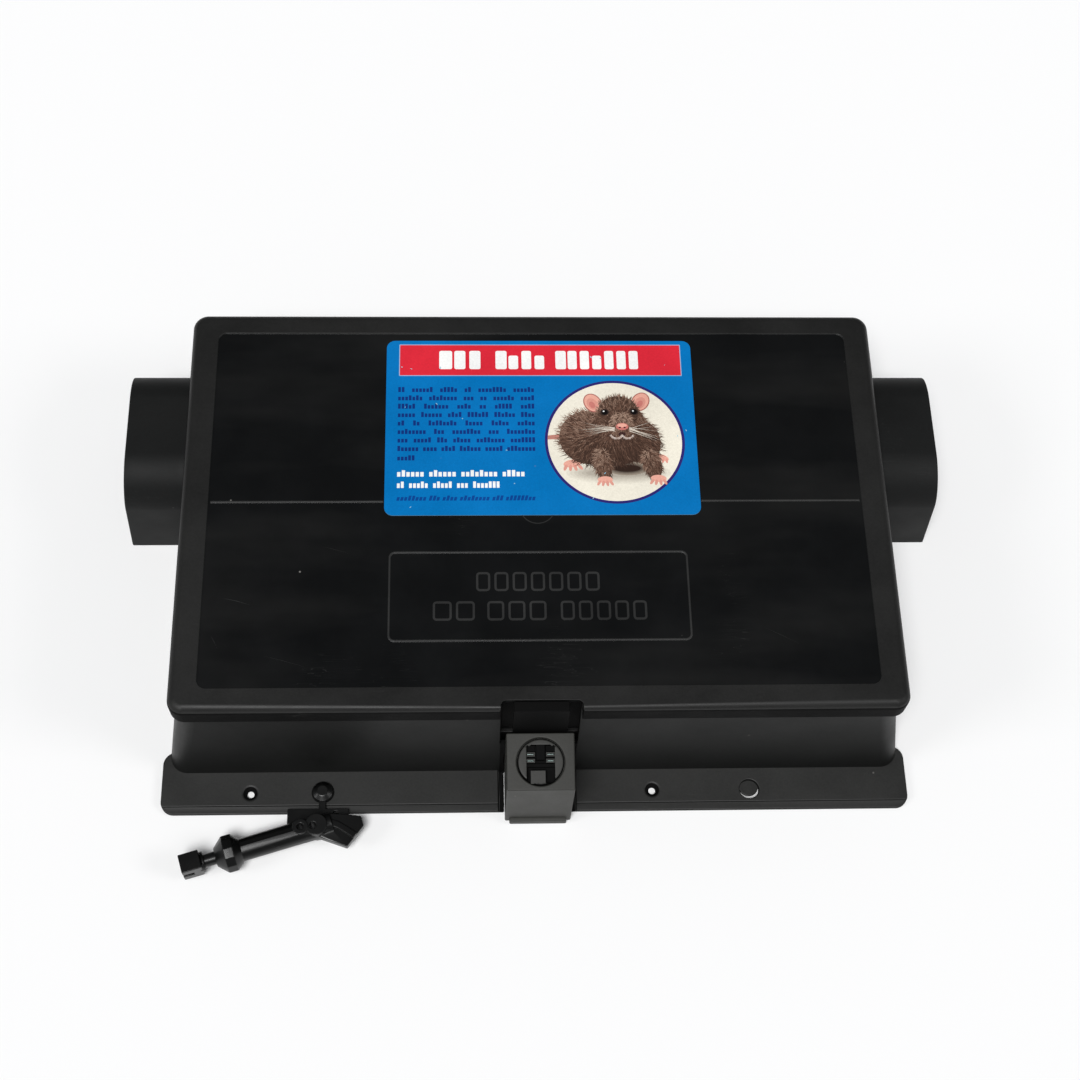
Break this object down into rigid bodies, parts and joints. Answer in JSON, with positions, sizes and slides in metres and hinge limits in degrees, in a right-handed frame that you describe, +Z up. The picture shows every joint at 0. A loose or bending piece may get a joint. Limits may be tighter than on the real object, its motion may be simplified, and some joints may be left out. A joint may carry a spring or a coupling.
{
  "type": "rodent bait station",
  "caption": "Lockable box with a hinged lid, two side entry tunnels, baffled runway and a lift-out bait tray with rods.",
  "frame": {"origin": "on the underside of the base, under the middle of the lid", "axes": "+X to the right along the lid's long side, +Y towards the hinges, +Z up"},
  "size_m": [0.389, 0.26, 0.075],
  "materials": {
    "lid_plastic": "semi-gloss black polypropylene, matte grained border",
    "base_plastic": "matte black polypropylene",
    "lock_plastic": "matte dark grey plastic",
    "key_plastic": "semi-gloss black plastic",
    "inner_plastic": "matte black plastic",
    "label_print": "gloss laminated print",
    "steel": "zinc plated"
  },
  "bodies": {
    "base": {"base": "base_plastic", "lock_housing": "lock_plastic", "entry_tunnel_left": "base_plastic", "entry_tunnel_right": "base_plastic", "tunnel_collar_left": "base_plastic", "tunnel_collar_right": "base_plastic", "hinge_pin_left": "steel", "hinge_pin_right": "steel", "baffle_left": "inner_plastic", "baffle_right": "inner_plastic", "runway_baffle_left": "inner_plastic", "runway_baffle_right": "inner_plastic"},
    "lid": {"lid": "lid_plastic", "label": "label_print", "lid_keeper": "lid_plastic", "keeper_screw_left": "steel", "keeper_screw_right": "steel"},
    "lock": {"lock_barrel": "lock_plastic", "lock_cam": "lock_plastic", "lock_cam_screw": "steel"},
    "key": {"key": "key_plastic", "key_tether": "key_plastic"},
    "tray": {"bait_tray": "inner_plastic", "tray_divider": "inner_plastic", "rod_bracket_left": "inner_plastic", "rod_bracket_right": "inner_plastic"},
    "rod_front": {"bait_rod_front": "steel"},
    "rod_rear": {"bait_rod_rear": "steel"}
  },
  "joints": [
    {"name": "lid_hinge", "type": "hinge", "parent": "base", "child": "lid", "pos_m": [0, 0.1032, 0.057], "axis": [-1, 0, 0], "range_deg": [0, 105]},
    {"name": "lock_turn", "type": "hinge", "parent": "base", "child": "lock", "pos_m": [0, -0.1137, 0.04726], "axis": [0, -0.1736, 0.9848], "range_deg": [0, 60]},
    {"name": "key_swing", "type": "hinge", "parent": "base", "child": "key", "pos_m": [-0.098, -0.1126, 0.003], "axis": [0, 0, 1], "range_deg": [-10, 55]},
    {"name": "tray_lift", "type": "slide", "parent": "base", "child": "tray", "axis": [0, 0, 1], "range_m": [0, 0.025]},
    {"name": "rod_front_lift", "type": "slide", "parent": "tray", "child": "rod_front", "axis": [0, 0, 1], "range_m": [0, 0.01]},
    {"name": "rod_rear_lift", "type": "slide", "parent": "tray", "child": "rod_rear", "axis": [0, 0, 1], "range_m": [0, 0.01]}
  ]
}
